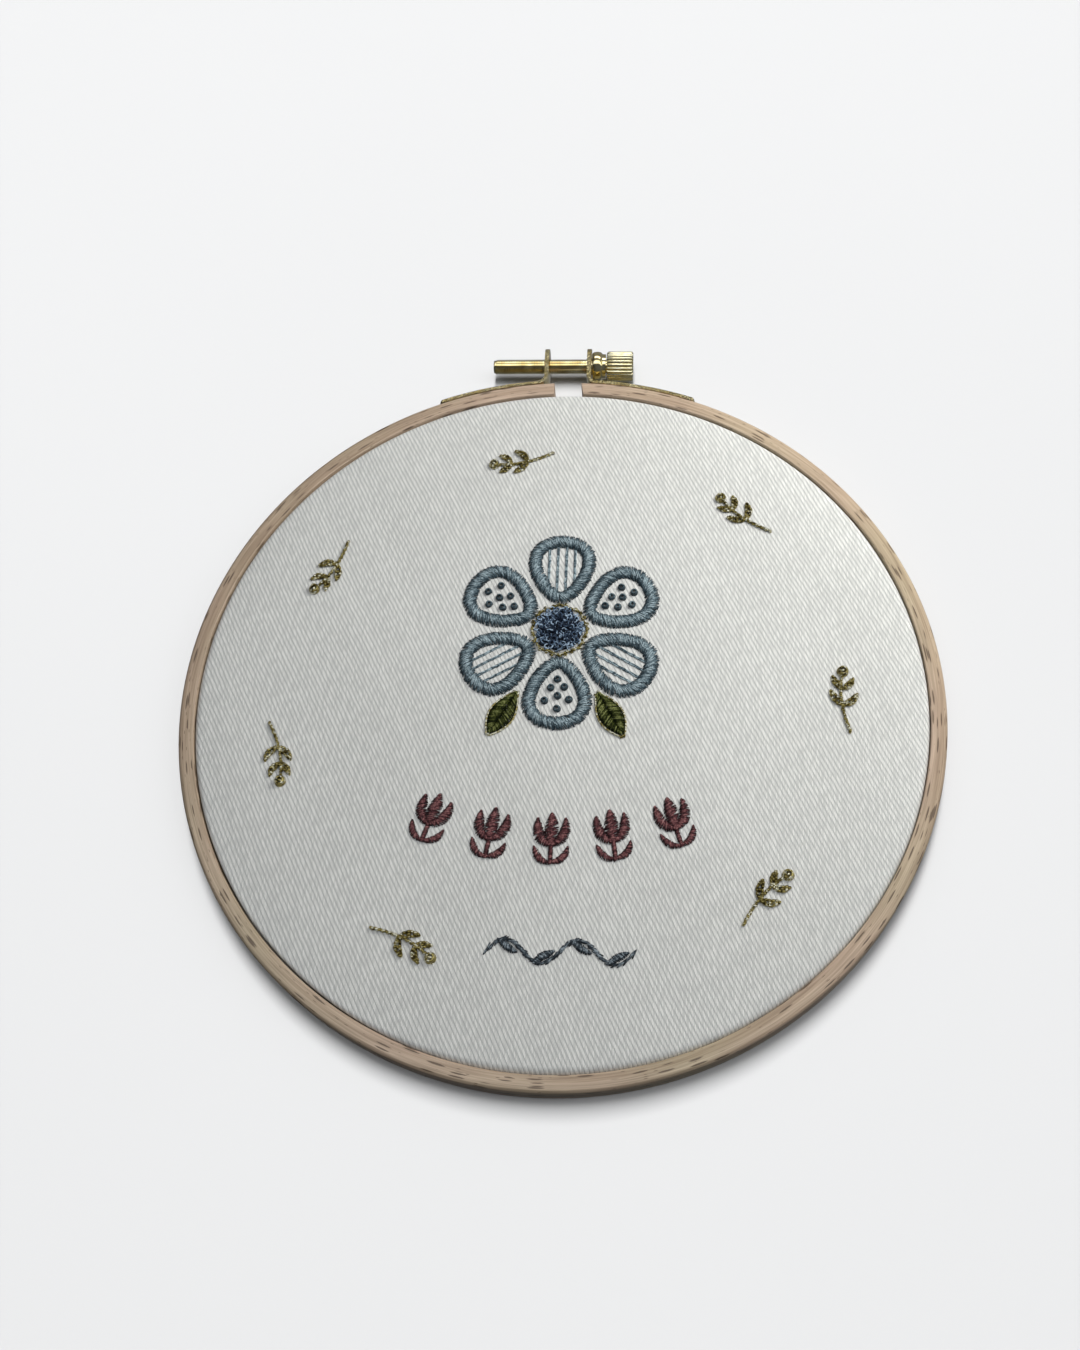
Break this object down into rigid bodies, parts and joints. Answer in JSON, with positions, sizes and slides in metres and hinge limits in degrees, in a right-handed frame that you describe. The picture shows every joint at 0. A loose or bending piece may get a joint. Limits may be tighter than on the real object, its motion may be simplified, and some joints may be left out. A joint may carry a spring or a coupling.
{
  "type": "embroidery art in wooden hoop",
  "caption": "Round cotton twill with a satin-stitched flower, small tulips, a vine and gold sprigs, stretched in a split beech hoop with a brass thumbscrew.",
  "frame": {"origin": "centre of the bounding box, on the surface that the hoop lies on", "axes": "+Z out of the embroidered face, +Y from the hoop's centre towards the screw, +X to the right as seen from the front"},
  "size_m": [0.1892, 0.202, 0.0102],
  "materials": {
    "beech": "pale beech, waxed, with short brown flecks along the grain",
    "twill": "off-white cotton twill, matte, stretched tight",
    "brass": "polished brass plating",
    "thread_blue": "slate-blue stranded cotton, satin stitched, soft sheen",
    "thread_deep_blue": "deep blue stranded cotton in knots",
    "thread_green": "dark green stranded cotton, satin stitched",
    "thread_red": "brick-red stranded cotton, satin stitched",
    "thread_teal": "grey-teal stranded cotton, stem stitched",
    "thread_gold": "metallic gold embroidery thread, glittering"
  },
  "bodies": {
    "frame": {"outer_ring": "beech", "inner_ring": "beech", "cloth": "twill", "strap_left": "brass", "strap_right": "brass", "bloom": "thread_deep_blue", "bloom_edge": "thread_gold", "leaf_left": "thread_green", "leaf_right": "thread_green", "vine": "thread_teal", "petal_1": "thread_blue", "petal_2": "thread_blue", "petal_3": "thread_blue", "petal_4": "thread_blue", "petal_5": "thread_blue", "petal_6": "thread_blue", "tulip_1": "thread_red", "tulip_2": "thread_red", "tulip_3": "thread_red", "tulip_4": "thread_red", "tulip_5": "thread_red", "sprig_1": "thread_gold", "sprig_2": "thread_gold", "sprig_3": "thread_gold", "sprig_4": "thread_gold", "sprig_5": "thread_gold", "sprig_6": "thread_gold", "sprig_7": "thread_gold"},
    "screw_feed": {"screw_collar": "brass"},
    "screw": {"thumbscrew": "brass"}
  },
  "joints": [
    {"name": "screw_feed", "type": "slide", "parent": "frame", "child": "screw_feed", "axis": [1, 0, 0], "range_m": [0, 0.014]},
    {"name": "screw_turn", "type": "hinge", "parent": "screw_feed", "child": "screw", "pos_m": [0, 0.09573, 0.0043], "axis": [1, 0, 0], "range_deg": [0, 7200]}
  ],
  "couplings": [
    {"joint": "screw_feed", "follows": "screw_turn", "m_per_rad": 0.00011141}
  ]
}
